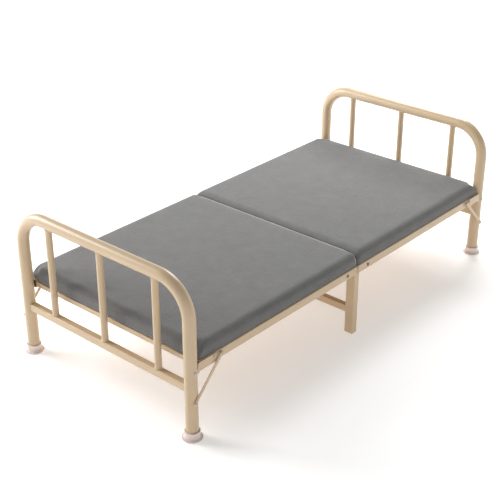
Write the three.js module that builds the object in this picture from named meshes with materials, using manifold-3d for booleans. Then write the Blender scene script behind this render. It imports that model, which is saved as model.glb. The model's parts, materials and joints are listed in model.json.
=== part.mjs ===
// Folding cot with two end arches, a middle support and a pad on each half. Millimetres, +Z up.
// The origin is on the floor at the middle of the cot. +X runs to the head end and +Y to the left side.
import * as THREE from 'three';
import { mergeVertices } from 'three/addons/utils/BufferGeometryUtils.js';
import Module from 'manifold-3d';

const wasm = await Module();
wasm.setup();

// Overall sizes
const LENGTH = 1900; // over the arch tubes
const WIDTH = 904; // over the arch tubes
const HEIGHT = 624; // top of the arches
const GAP = 0.3; // between faces that sit against each other
const HOLE_GAP = 0.4; // around a shank in its hole

// End arches
const TUBE = 47;
const TUBE_WALL = 1.8;
const ARCH_BEND = 130; // bend radius on the tube's centre line
const CROSSBAR_TOP = 219.5;
const CROSSBAR_HEIGHT = 31;
const CROSSBAR_DEPTH = 27;
const BALUSTER = 26;
const BALUSTER_INSET = 155.5; // from the leg's axis to the outer balusters
const SLIM_WALL = 1.5; // wall of the crossbars, balusters and cross rails

// Rubber feet
const FOOT_FLANGE_WALL = 14.5; // from the tube to the flange's rim
const FOOT_COLLAR_WALL = 4.5;
const FOOT_HEIGHT = 33;
const FOOT_SOLE = 6;
const FOOT_STEP = 3;
const FOOT_ROUND = 2; // softening of the foot's rims
const FOOT_TAPER = 1;

// Side rails and cross rails
const RAIL_INSET = 7; // from the outside of the tube to the rail's outer face
const RAIL_TOP = 305.5;
const RAIL_HEIGHT = 34.5;
const RAIL_THICKNESS = 30;
const RAIL_WALL = 1.8;
const RAIL_END_GAP = 5; // from the rail's end to the leg
const MIDDLE_GAP = 2.5; // from the middle plane to a rail's inner end
const CROSS_RAIL_DROP = 8; // from the rail's top to the cross rails' top
const CROSS_RAIL_HEIGHT = 20;
const CROSS_RAIL_DEPTH = 25;
const INNER_RAIL_X = 95; // inner face of the inner cross rail

// Pads and boards
const PAD_INSET = 5; // from the rail's outer face to the pad's side
const PAD_ABOVE_RAIL = 54.5;
const PAD_EDGE = 25; // rounding along the long sides
const PAD_CORNER = 18; // plan corner
const PAD_END_GAP = 2; // from the pad's end to the rail's end
const PAD_SEAM_GAP = 1.5; // from the middle plane to a pad
const PAD_LIP = 12; // length of the pad's end that wraps the board's end
const BOARD_THICKNESS = 6;
const BOARD_SIDE_GAP = 7; // from the board to the side rail

// Arch pivots: arm, pivot bolt and strut
const ARCH_PIVOT_INSET = 98.5; // from the leg's axis
const ARCH_PIVOT_DROP = 11.5; // from the rail's top
const ARM_THICKNESS = 3;
const ARM_OVERHANG = 12; // of the arm past its pivot
const ARM_CORNER = 8;
const ARM_BOLT_DROP = 31.5; // from the rail's top
const ARM_TONGUE = 8; // half height of the tongue inside the leg
const STRUT_PIVOT_INSET = 31.2; // from the arch pivot
const STRUT_PIVOT_DROP = 7.3; // from the rail's top
const STRUT_STUD_DROP = 141.5; // from the rail's top
const STRUT_WIDTH = 13;
const STRUT_THICKNESS = 3;
const STRUT_LEG_GAP = 0.8; // from the leg to the strut
const STRUT_SLOT_GAP = 1; // around the stud in the strut's slot
const STRUT_TIP = 8; // of the strut past its slot
const FOLD_CLEARANCE = 3; // from the pad to a leg as it swings past

// Middle support
const MID_LEG_LENGTHWISE = 29;
const MID_LEG_CROSSWISE = 38;
const MID_LEG_INSET = 3.5; // from the rail's outer face
const MID_LEG_WALL = 2;
const MID_BAR_TOP = 119;
const MID_BAR_HEIGHT = 31;
const MID_BAR_DEPTH = 26;
const HINGE_X = 66.5;
const HINGE_PLATE_THICKNESS = 3;
const HINGE_PLATE_HEIGHT = 26;
const HINGE_TAB_DEPTH = 30; // of the plate's tab inside the leg

// Fasteners
const SHANK = 8;
const BOLT_HEAD = 14;
const BOLT_HEAD_THICKNESS = 3;
const NUT = 13;
const NUT_THICKNESS = 4;
const RIVET = 6;
const RIVET_HEAD = 10;
const RIVET_HEAD_THICKNESS = 2;

// Places that follow
const ARCH_X = (LENGTH - TUBE) / 2;
const LEG_Y = (WIDTH - TUBE) / 2;
const ARCH_TOP_Z = HEIGHT - TUBE / 2;
const LEG_BASE_Z = FOOT_SOLE + GAP;
const BALUSTER_Y = LEG_Y - BALUSTER_INSET;
const RAIL_OUTER_Y = WIDTH / 2 - RAIL_INSET;
const RAIL_INNER_Y = RAIL_OUTER_Y - RAIL_THICKNESS;
const RAIL_BOTTOM = RAIL_TOP - RAIL_HEIGHT;
const RAIL_END_X = ARCH_X - TUBE / 2 - RAIL_END_GAP;
const PAD_END_X = RAIL_END_X - PAD_END_GAP;
const PAD_TOP = RAIL_TOP + PAD_ABOVE_RAIL;
const CROSS_RAIL_TOP = RAIL_TOP - CROSS_RAIL_DROP;
const ARCH_PIVOT = { x: ARCH_X - ARCH_PIVOT_INSET, z: RAIL_TOP - ARCH_PIVOT_DROP };
const STRUT_PIVOT = { x: ARCH_PIVOT.x - STRUT_PIVOT_INSET, z: RAIL_TOP - STRUT_PIVOT_DROP };
const ARM_BOLT_Z = RAIL_TOP - ARM_BOLT_DROP;
const STRUT_STUD_Z = RAIL_TOP - STRUT_STUD_DROP;
const HINGE_Z = RAIL_TOP - RAIL_HEIGHT / 2;
const ARM_Y = RAIL_OUTER_Y + GAP;
const STRUT_Y = WIDTH / 2 + STRUT_LEG_GAP;
const HINGE_PLATE_Y = RAIL_INNER_Y - GAP - HINGE_PLATE_THICKNESS;
const MID_LEG_Y = RAIL_OUTER_Y - MID_LEG_INSET - MID_LEG_CROSSWISE / 2;
const MID_LEG_TOP = RAIL_BOTTOM - GAP;
const HOLE = SHANK + 2 * HOLE_GAP;
const RIVET_HOLE = RIVET + 2 * HOLE_GAP;

const material = (color, roughness, metalness) =>
  new THREE.MeshStandardMaterial({ color, roughness, metalness });
const makePaint = () => material(0xd8c5a6, 0.45, 0.1);
const makeRubber = () => material(0xe6dad2, 0.75, 0);
const makeFabric = () => material(0x8a8783, 0.95, 0);
const makePlywood = () => material(0xb08b5e, 0.8, 0);
const makeZinc = () => material(0x55504c, 0.4, 0.9);

// Booleans and mirrors

const toSolid = (geometry) => {
  const bare = geometry.clone();
  bare.deleteAttribute('normal');
  bare.deleteAttribute('uv');
  const merged = mergeVertices(bare, 1e-4);
  const vertProperties = new Float32Array(merged.attributes.position.array);
  const triVerts = new Uint32Array(merged.index.array);
  return new wasm.Manifold(new wasm.Mesh({ numProp: 3, vertProperties, triVerts }));
};

const toGeometry = (solid) => {
  const { vertProperties, triVerts } = solid.getMesh();
  const geometry = new THREE.BufferGeometry();
  geometry.setAttribute('position', new THREE.BufferAttribute(vertProperties, 3));
  geometry.setIndex(new THREE.BufferAttribute(triVerts, 1));
  geometry.computeVertexNormals();
  return geometry;
};

const combine = (method, base, others) =>
  toGeometry(others.reduce((solid, other) => solid[method](toSolid(other)), toSolid(base)));
const cut = (base, ...tools) => combine('subtract', base, tools);
const join = (base, ...parts) => combine('add', base, parts);
const common = (base, ...others) => combine('intersect', base, others);

// The same shape on the other side of the lengthwise middle plane
const mirrorAcross = (geometry) => {
  const { array } = geometry.attributes.position;
  const mirrored = array.map((value, index) => (index % 3 === 1 ? -value : value));
  const triangles = Array.from(geometry.index.array).reverse();
  const result = new THREE.BufferGeometry();
  result.setAttribute('position', new THREE.BufferAttribute(mirrored, 3));
  result.setIndex(triangles);
  result.computeVertexNormals();
  return result;
};

// Simple shapes

const box = (x0, x1, y0, y1, z0, z1) =>
  new THREE.BoxGeometry(x1 - x0, y1 - y0, z1 - z0)
    .translate((x0 + x1) / 2, (y0 + y1) / 2, (z0 + z1) / 2);

// A round bar along Y from y0 to y1
const pin = (diameter, y0, y1, x = 0, z = 0, sides = 12) =>
  new THREE.CylinderGeometry(diameter / 2, diameter / 2, y1 - y0, sides)
    .translate(x, (y0 + y1) / 2, z);

// A round bar along Z from z0 to z1
const post = (diameter, z0, z1, x = 0, y = 0, sides = 20) =>
  new THREE.CylinderGeometry(diameter / 2, diameter / 2, z1 - z0, sides)
    .rotateX(Math.PI / 2)
    .translate(x, y, (z0 + z1) / 2);

// An outline of x and z, extruded along Y from y0 to y1
const plate = (outline, y0, y1, curveSegments = 4) =>
  new THREE.ExtrudeGeometry(outline, { depth: y1 - y0, bevelEnabled: false, curveSegments })
    .rotateX(Math.PI / 2)
    .translate(0, y1, 0);

// A rectangle with rounded corners
const roundedRectangle = (x0, x1, z0, z1, radius) => {
  const outline = new THREE.Shape();
  const quarter = Math.PI / 2;
  outline.absarc(x1 - radius, z1 - radius, radius, 0, quarter);
  outline.absarc(x0 + radius, z1 - radius, radius, quarter, 2 * quarter);
  outline.absarc(x0 + radius, z0 + radius, radius, 2 * quarter, 3 * quarter);
  outline.absarc(x1 - radius, z0 + radius, radius, 3 * quarter, 4 * quarter);
  outline.closePath();
  return outline;
};

// A flat slot or bar with round ends between two distances along +X
const capsule = (start, end, width) => {
  const outline = new THREE.Shape();
  outline.absarc(end, 0, width / 2, -Math.PI / 2, Math.PI / 2);
  outline.absarc(start, 0, width / 2, Math.PI / 2, (3 * Math.PI) / 2);
  outline.closePath();
  return outline;
};

// A rectangular tube along Y, open at both ends
const crossTube = (x0, x1, z0, z1, halfLength, wall) => {
  const outline = new THREE.Shape();
  outline.moveTo(x0, z0).lineTo(x1, z0).lineTo(x1, z1).lineTo(x0, z1).closePath();
  const bore = new THREE.Path();
  bore.moveTo(x0 + wall, z0 + wall).lineTo(x0 + wall, z1 - wall);
  bore.lineTo(x1 - wall, z1 - wall).lineTo(x1 - wall, z0 + wall).closePath();
  outline.holes.push(bore);
  return plate(outline, -halfLength, halfLength);
};

// Arch tube: up one leg, over the top and down the other

class ArchLine extends THREE.Curve {
  constructor(bendSteps) {
    super();
    const bendZ = ARCH_TOP_Z - ARCH_BEND;
    const bendY = LEG_Y - ARCH_BEND;
    const bend = (side, index) => {
      const angle = (side < 0 ? Math.PI : Math.PI / 2) - (index / bendSteps) * (Math.PI / 2);
      const radial = new THREE.Vector3(0, Math.cos(angle), Math.sin(angle));
      const point = radial.clone().multiplyScalar(ARCH_BEND).add(new THREE.Vector3(0, side * bendY, bendZ));
      return { point, tangent: new THREE.Vector3(0, radial.z, -radial.y) };
    };
    const indices = Array.from({ length: bendSteps + 1 }, (_, index) => index);
    this.stations = [
      { point: new THREE.Vector3(0, -LEG_Y, LEG_BASE_Z), tangent: new THREE.Vector3(0, 0, 1) },
      ...indices.map((index) => bend(-1, index)),
      ...indices.map((index) => bend(1, index)),
      { point: new THREE.Vector3(0, LEG_Y, LEG_BASE_Z), tangent: new THREE.Vector3(0, 0, -1) },
    ];
    this.steps = this.stations.length - 1;
  }

  at(fraction) {
    return this.stations[Math.round(fraction * this.steps)];
  }

  getPointAt(fraction) {
    return this.at(fraction).point.clone();
  }

  getTangentAt(fraction) {
    return this.at(fraction).tangent.clone();
  }
}

const ring = (outer, inner) => {
  const outline = new THREE.Shape().absarc(0, 0, outer / 2, 0, 2 * Math.PI);
  outline.holes.push(new THREE.Path().absarc(0, 0, inner / 2, 0, 2 * Math.PI, true));
  return outline;
};

// A round tube along Z from z0 to z1
const roundTube = (outer, wall, z0, z1) =>
  new THREE.ExtrudeGeometry(ring(outer, outer - 2 * wall), {
    depth: z1 - z0, bevelEnabled: false, curveSegments: 6,
  }).translate(0, 0, z0);

// Turns a shape made along Y, from -x1 to -x0, so that it runs along X from x0 to x1
const lengthwise = (geometry) => geometry.rotateZ(Math.PI / 2);

// Fasteners, each along +Y with its head outermost

const headed = (shank, head, headThickness, nut, nutThickness, nutY, headY) =>
  join(
    pin(shank, nutY - nutThickness / 2, headY + headThickness / 2),
    pin(head, headY, headY + headThickness),
    pin(nut, nutY - nutThickness, nutY, 0, 0, 6),
  );

const bolt = (nutY, headY) => headed(SHANK, BOLT_HEAD, BOLT_HEAD_THICKNESS, NUT, NUT_THICKNESS, nutY, headY);

const makeHingeBolt = () => bolt(HINGE_PLATE_Y - GAP, RAIL_OUTER_Y + GAP);
const makeArchBolt = () => bolt(RAIL_INNER_Y - GAP, ARM_Y + ARM_THICKNESS + GAP);
const makeArmBolt = () => bolt(ARM_Y - GAP, WIDTH / 2 + GAP);

// A rivet that holds the strut: an inner flange, a shank and an outer head
const strutPin = (flangeY) => {
  const headY = STRUT_Y + STRUT_THICKNESS + GAP;
  return join(
    pin(RIVET, flangeY - RIVET_HEAD_THICKNESS / 2, headY + RIVET_HEAD_THICKNESS / 2),
    pin(RIVET_HEAD, flangeY - RIVET_HEAD_THICKNESS, flangeY),
    pin(RIVET_HEAD, headY, headY + RIVET_HEAD_THICKNESS),
  );
};

const makeStrutStud = () => {
  const innerRadius = TUBE / 2 - TUBE_WALL;
  return strutPin(LEG_Y + Math.sqrt(innerRadius ** 2 - (RIVET_HEAD / 2) ** 2) - 2 * GAP);
};

const makeStrutRivet = () =>
  join(
    strutPin(RAIL_OUTER_Y - RAIL_WALL - GAP),
    pin(RIVET_HEAD, RAIL_OUTER_Y + GAP, STRUT_Y - GAP),
  );

// Struts: the stud slides in the slot while the arch swings

const toStud = (swing) => {
  const across = ARCH_PIVOT_INSET;
  const up = STRUT_STUD_Z - ARCH_PIVOT.z;
  const x = ARCH_PIVOT.x + across * Math.cos(swing) - up * Math.sin(swing) - STRUT_PIVOT.x;
  const z = ARCH_PIVOT.z + across * Math.sin(swing) + up * Math.cos(swing) - STRUT_PIVOT.z;
  return new THREE.Vector2(x, z);
};

const makeStrut = () => {
  const swings = Array.from({ length: 31 }, (_, index) => (index / 30) * (Math.PI / 2));
  const reaches = swings.map((swing) => toStud(swing).length());
  const slotStart = Math.min(...reaches);
  const slotEnd = Math.max(...reaches);
  const outline = capsule(0, slotEnd + STRUT_TIP - STRUT_WIDTH / 2 + RIVET / 2, STRUT_WIDTH);
  const slot = capsule(slotStart, slotEnd, RIVET + 2 * STRUT_SLOT_GAP);
  const bar = cut(
    plate(outline, 0, STRUT_THICKNESS),
    plate(slot, -1, STRUT_THICKNESS + 1),
    pin(RIVET_HOLE, -1, STRUT_THICKNESS + 1),
  );
  return bar.rotateY(-toStud(0).angle());
};

// Arms: a plate on the rail's outer face, welded to the leg, with a tongue bolted inside the leg.
// Their zero is on the leg's axis.

const tongue = (grow) =>
  box(-TUBE / 2 - grow, ARM_TONGUE + grow, -grow, ARM_THICKNESS + grow,
    ARM_BOLT_Z - ARM_TONGUE - grow, ARM_BOLT_Z + ARM_TONGUE + grow);

const makeArm = () => {
  const legHalfChord = Math.sqrt((TUBE / 2) ** 2 - (ARM_Y - LEG_Y) ** 2);
  const back = -ARCH_PIVOT_INSET - ARM_OVERHANG;
  const outline = roundedRectangle(back, -legHalfChord - GAP, RAIL_BOTTOM, RAIL_TOP, ARM_CORNER);
  const cheek = plate(outline, 0, ARM_THICKNESS);
  return cut(
    join(cheek, tongue(0)),
    pin(HOLE, -1, ARM_THICKNESS + 1, -ARCH_PIVOT_INSET, ARCH_PIVOT.z),
    pin(HOLE, -1, ARM_THICKNESS + 1, 0, ARM_BOLT_Z),
  );
};

// Arch pieces, with their zero on the arch's plane

const makeArchTube = () => {
  const line = new ArchLine(6);
  const section = ring(TUBE, TUBE - 2 * TUBE_WALL);
  const tube = new THREE.ExtrudeGeometry(section, {
    steps: line.steps,
    extrudePath: line,
    bevelEnabled: false,
    curveSegments: 8,
  });
  const cuts = [-1, 1].flatMap((side) => {
    const reach = [side * LEG_Y, side * (LEG_Y + TUBE)].sort((a, b) => a - b);
    const slotY = side > 0 ? ARM_Y : -ARM_Y - ARM_THICKNESS;
    return [
      pin(RIVET_HOLE, ...reach, 0, STRUT_STUD_Z),
      pin(HOLE, ...reach, 0, ARM_BOLT_Z),
      tongue(GAP).translate(0, slotY, 0),
    ];
  });
  return cut(tube, ...cuts);
};

const makeCrossbar = () => {
  const halfDepth = CROSSBAR_DEPTH / 2;
  const base = CROSSBAR_TOP - CROSSBAR_HEIGHT;
  const bar = crossTube(-halfDepth, halfDepth, base, CROSSBAR_TOP, LEG_Y, SLIM_WALL);
  const legs = [-1, 1].map((side) =>
    post(TUBE + 2 * GAP, base - CROSSBAR_HEIGHT, CROSSBAR_TOP + CROSSBAR_HEIGHT, 0, side * LEG_Y));
  return cut(bar, ...legs);
};

const makeBaluster = () =>
  cut(
    roundTube(BALUSTER, SLIM_WALL, CROSSBAR_TOP + GAP, ARCH_TOP_Z),
    pin(TUBE + 2 * GAP, -BALUSTER, BALUSTER, 0, ARCH_TOP_Z, 24),
  );

const makeRubberFoot = () => {
  const flange = TUBE / 2 + FOOT_FLANGE_WALL;
  const collar = TUBE / 2 + FOOT_COLLAR_WALL;
  const socket = TUBE / 2 + 2 * GAP;
  const rise = collar + FOOT_FLANGE_WALL / 4;
  const shelf = FOOT_SOLE + FOOT_STEP;
  const profile = [
    [0, 0], [flange - FOOT_ROUND, 0], [flange, FOOT_ROUND], [flange, FOOT_SOLE], [rise, shelf],
    [collar, shelf + FOOT_STEP], [collar, FOOT_HEIGHT - FOOT_ROUND], [collar - FOOT_TAPER, FOOT_HEIGHT],
    [socket, FOOT_HEIGHT], [socket, FOOT_SOLE], [0, FOOT_SOLE],
  ].map(([radius, z]) => new THREE.Vector2(radius, z));
  return new THREE.LatheGeometry(profile, 20).rotateX(Math.PI / 2);
};

// Half-frame pieces

const makeSideRail = () => {
  const tube = lengthwise(
    crossTube(RAIL_INNER_Y, RAIL_OUTER_Y, RAIL_BOTTOM, RAIL_TOP, (RAIL_END_X - MIDDLE_GAP) / 2, RAIL_WALL)
      .translate(0, -(RAIL_END_X + MIDDLE_GAP) / 2, 0),
  );
  return cut(
    tube,
    pin(HOLE, RAIL_INNER_Y - 1, RAIL_OUTER_Y + 1, HINGE_X, HINGE_Z),
    pin(HOLE, RAIL_INNER_Y - 1, RAIL_OUTER_Y + 1, ARCH_PIVOT.x, ARCH_PIVOT.z),
    pin(RIVET_HOLE, RAIL_OUTER_Y - 2 * RAIL_WALL, RAIL_OUTER_Y + 1, STRUT_PIVOT.x, STRUT_PIVOT.z),
  );
};

const makeCrossRail = (x0) =>
  crossTube(x0, x0 + CROSS_RAIL_DEPTH, CROSS_RAIL_TOP - CROSS_RAIL_HEIGHT, CROSS_RAIL_TOP,
    RAIL_INNER_Y - GAP, SLIM_WALL);

const makeBoard = () => {
  const halfWidth = RAIL_INNER_Y - BOARD_SIDE_GAP;
  const bottom = CROSS_RAIL_TOP + GAP;
  return box(MIDDLE_GAP, PAD_END_X - PAD_LIP - GAP, -halfWidth, halfWidth, bottom, bottom + BOARD_THICKNESS);
};

// The pad's profile from the side. Its end keeps within that radius of the arch pivot, above the rail.
const padProfile = (radius, bottom) => {
  const endAngle = Math.acos((PAD_END_X - ARCH_PIVOT.x) / radius);
  const topAngle = Math.asin((PAD_TOP - ARCH_PIVOT.z) / radius);
  const side = new THREE.Shape();
  side.moveTo(PAD_SEAM_GAP, bottom).lineTo(PAD_END_X, bottom);
  side.absarc(ARCH_PIVOT.x, ARCH_PIVOT.z, radius, endAngle, topAngle);
  return side.lineTo(PAD_SEAM_GAP, PAD_TOP).closePath();
};

const makePad = () => {
  const bottom = RAIL_TOP + GAP;
  const halfWidth = RAIL_OUTER_Y - PAD_INSET;
  const insideLegs = LEG_Y - TUBE / 2 - FOLD_CLEARANCE;
  const pastLegs = padProfile(ARCH_PIVOT_INSET - TUBE / 2 - FOLD_CLEARANCE, bottom);
  const pastBalusters = padProfile(ARCH_PIVOT_INSET - BALUSTER / 2 - FOLD_CLEARANCE, bottom);
  const end = roundedRectangle(-halfWidth, halfWidth, bottom - 2 * PAD_EDGE, PAD_TOP, PAD_EDGE);
  const plan = roundedRectangle(PAD_SEAM_GAP, PAD_END_X, -halfWidth, halfWidth, PAD_CORNER);
  const cushion = common(
    join(plate(pastLegs, -halfWidth, halfWidth), plate(pastBalusters, -insideLegs, insideLegs)),
    lengthwise(plate(end, -PAD_END_X, -PAD_SEAM_GAP)),
    new THREE.ExtrudeGeometry(plan, { depth: PAD_TOP, bevelEnabled: false, curveSegments: 4 }),
  );
  const lipHalf = RAIL_INNER_Y - BOARD_SIDE_GAP;
  const lip = box(PAD_END_X - PAD_LIP, PAD_END_X - GAP, -lipHalf, lipHalf, CROSS_RAIL_TOP + GAP, bottom + 1);
  return join(cushion, lip);
};

// Middle support pieces

const makeMiddleLeg = () => {
  const halfLength = MID_LEG_LENGTHWISE / 2;
  const halfWidth = MID_LEG_CROSSWISE / 2;
  const outer = box(-halfLength, halfLength, MID_LEG_Y - halfWidth, MID_LEG_Y + halfWidth, 0, MID_LEG_TOP);
  const bore = box(-halfLength + MID_LEG_WALL, halfLength - MID_LEG_WALL,
    MID_LEG_Y - halfWidth + MID_LEG_WALL, MID_LEG_Y + halfWidth - MID_LEG_WALL, -1, MID_LEG_TOP + 1);
  const plateEnd = HINGE_X + HINGE_PLATE_HEIGHT / 2;
  const bar = roundedRectangle(-plateEnd, plateEnd, HINGE_Z - HINGE_PLATE_HEIGHT / 2,
    HINGE_Z + HINGE_PLATE_HEIGHT / 2, HINGE_PLATE_HEIGHT / 2 - 0.1);
  const outerY = HINGE_PLATE_Y + HINGE_PLATE_THICKNESS;
  const tabHalf = halfLength - MID_LEG_WALL / 2;
  const leg = join(
    cut(outer, bore),
    plate(bar, HINGE_PLATE_Y, outerY),
    box(-tabHalf, tabHalf, HINGE_PLATE_Y, outerY, MID_LEG_TOP - HINGE_TAB_DEPTH, HINGE_Z),
  );
  return cut(leg, ...[-1, 1].map((end) => pin(HOLE, HINGE_PLATE_Y - 1, outerY + 1, end * HINGE_X, HINGE_Z)));
};

const makeMiddleCrossbar = () => {
  const innerY = MID_LEG_Y - MID_LEG_CROSSWISE / 2 - GAP;
  return crossTube(-MID_BAR_DEPTH / 2, MID_BAR_DEPTH / 2, MID_BAR_TOP - MID_BAR_HEIGHT, MID_BAR_TOP, innerY,
    SLIM_WALL);
};

// The cot: a middle support and two ends, alike, each turned to face its own way

const cot = new THREE.Group();

const place = (group, name, geometry, finish, x = 0, y = 0, z = 0, turn = 0) => {
  const mesh = new THREE.Mesh(geometry, finish);
  mesh.name = name;
  mesh.position.set(x, y, z);
  mesh.rotation.z = turn;
  group.add(mesh);
};

const sideOf = (y) => (y > 0 ? 'left' : 'right');

const buildEnd = (end, turn) => {
  const group = new THREE.Group();
  group.rotation.z = turn;
  cot.add(group);
  const add = (name, ...rest) => place(group, `${end}_${name}`, ...rest);
  const worldSide = (side) => sideOf(side * Math.cos(turn));

  add('arch_tube', makeArchTube(), makePaint(), ARCH_X);
  add('arch_crossbar', makeCrossbar(), makePaint(), ARCH_X);
  for (const step of [-1, 0, 1]) {
    const spot = step === 0 ? 'middle' : worldSide(step);
    add(`baluster_${spot}`, makeBaluster(), makePaint(), ARCH_X, step * BALUSTER_Y);
  }
  add('end_rail', makeCrossRail(RAIL_END_X - CROSS_RAIL_DEPTH), makePaint());
  add('slat', makeCrossRail((RAIL_END_X + INNER_RAIL_X - CROSS_RAIL_DEPTH) / 2), makePaint());
  add('inner_rail', makeCrossRail(INNER_RAIL_X), makePaint());
  add('board', makeBoard(), makePlywood());
  add('pad', makePad(), makeFabric());

  for (const side of [-1, 1]) {
    const name = worldSide(side);
    const half = side > 0 ? 0 : Math.PI; // turns a fastener's head outwards
    const plateY = (innerY, thickness) => (side > 0 ? innerY : -innerY - thickness);
    const rail = makeSideRail();
    add(`side_rail_${name}`, side > 0 ? rail : mirrorAcross(rail), makePaint());
    add(`rubber_foot_${name}`, makeRubberFoot(), makeRubber(), ARCH_X, side * LEG_Y);
    add(`arm_${name}`, makeArm(), makePaint(), ARCH_X, plateY(ARM_Y, ARM_THICKNESS));
    const strutY = plateY(STRUT_Y, STRUT_THICKNESS);
    add(`strut_${name}`, makeStrut(), makePaint(), STRUT_PIVOT.x, strutY, STRUT_PIVOT.z);
    add(`arm_bolt_${name}`, makeArmBolt(), makeZinc(), ARCH_X, 0, ARM_BOLT_Z, half);
    add(`arch_bolt_${name}`, makeArchBolt(), makeZinc(), ARCH_PIVOT.x, 0, ARCH_PIVOT.z, half);
    add(`strut_stud_${name}`, makeStrutStud(), makeZinc(), ARCH_X, 0, STRUT_STUD_Z, half);
    add(`strut_rivet_${name}`, makeStrutRivet(), makeZinc(), STRUT_PIVOT.x, 0, STRUT_PIVOT.z, half);
    add(`hinge_bolt_${name}`, makeHingeBolt(), makeZinc(), HINGE_X, 0, HINGE_Z, half);
  }
};

buildEnd('head', 0);
buildEnd('foot', Math.PI);
for (const [side, turn] of [['left', 0], ['right', Math.PI]]) {
  place(cot, `middle_leg_${side}`, makeMiddleLeg(), makePaint(), 0, 0, 0, turn);
}
place(cot, 'middle_crossbar', makeMiddleCrossbar(), makePaint());

export default cot;
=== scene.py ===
"""Folding cot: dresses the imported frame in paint, rubber, zinc and cloth, in a pale studio."""

import json
import logging
import math
from dataclasses import dataclass
from enum import Enum
from typing import Callable, Iterable, Optional

import bmesh
import bpy
import numpy
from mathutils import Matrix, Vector


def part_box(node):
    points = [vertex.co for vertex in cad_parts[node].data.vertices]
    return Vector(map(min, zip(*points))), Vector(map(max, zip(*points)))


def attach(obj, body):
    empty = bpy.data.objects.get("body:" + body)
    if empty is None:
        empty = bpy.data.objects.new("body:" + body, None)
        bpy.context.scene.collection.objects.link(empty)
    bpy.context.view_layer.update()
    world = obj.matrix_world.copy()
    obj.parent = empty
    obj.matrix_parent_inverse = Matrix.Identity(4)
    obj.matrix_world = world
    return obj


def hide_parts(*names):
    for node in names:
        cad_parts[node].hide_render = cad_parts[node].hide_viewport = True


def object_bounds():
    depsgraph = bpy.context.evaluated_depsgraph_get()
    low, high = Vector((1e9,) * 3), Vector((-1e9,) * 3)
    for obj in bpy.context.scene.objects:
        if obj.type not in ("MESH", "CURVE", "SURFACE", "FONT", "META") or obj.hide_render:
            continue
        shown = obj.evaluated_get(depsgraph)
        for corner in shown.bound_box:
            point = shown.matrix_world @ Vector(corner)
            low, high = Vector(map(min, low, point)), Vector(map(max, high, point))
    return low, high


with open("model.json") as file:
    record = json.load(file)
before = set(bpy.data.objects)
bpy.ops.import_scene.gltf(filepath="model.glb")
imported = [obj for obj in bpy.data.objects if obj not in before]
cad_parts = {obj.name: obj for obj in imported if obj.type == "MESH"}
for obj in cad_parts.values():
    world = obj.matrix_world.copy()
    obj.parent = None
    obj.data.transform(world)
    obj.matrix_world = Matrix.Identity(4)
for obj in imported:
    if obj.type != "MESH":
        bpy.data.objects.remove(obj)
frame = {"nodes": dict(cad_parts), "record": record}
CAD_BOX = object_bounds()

LOG = logging.getLogger("cot")
ENDS = ("foot", "head")
SIDES = {"left": 1, "right": -1}
ALONG = 0.9
DOUBLED = 1e-6

Profile = list[tuple[float, float]]
Turn = tuple[float, float, float]


class Slot(Enum):
    """The record's material slots."""

    PAINT = "paint"
    RUBBER = "rubber"
    FABRIC = "fabric"
    PLYWOOD = "plywood"
    ZINC = "zinc"


# Shader graphs


class Value:
    """A number socket. Its operators add Math nodes to the graph that it belongs to."""

    def __init__(self, graph: "Graph", socket: bpy.types.NodeSocket) -> None:
        """Wraps a socket of the graph."""
        self.graph = graph
        self.socket = socket

    def __add__(self, other: "Number") -> "Value":
        """Returns self + other."""
        return self.graph.math("ADD", self, other)

    def __rsub__(self, other: "Number") -> "Value":
        """Returns other - self."""
        return self.graph.math("SUBTRACT", other, self)

    def __mul__(self, other: "Number") -> "Value":
        """Returns self * other."""
        return self.graph.math("MULTIPLY", self, other)

    __radd__ = __add__
    __rmul__ = __mul__


Number = float | Value
Colour = tuple[float, float, float, float]


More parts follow.
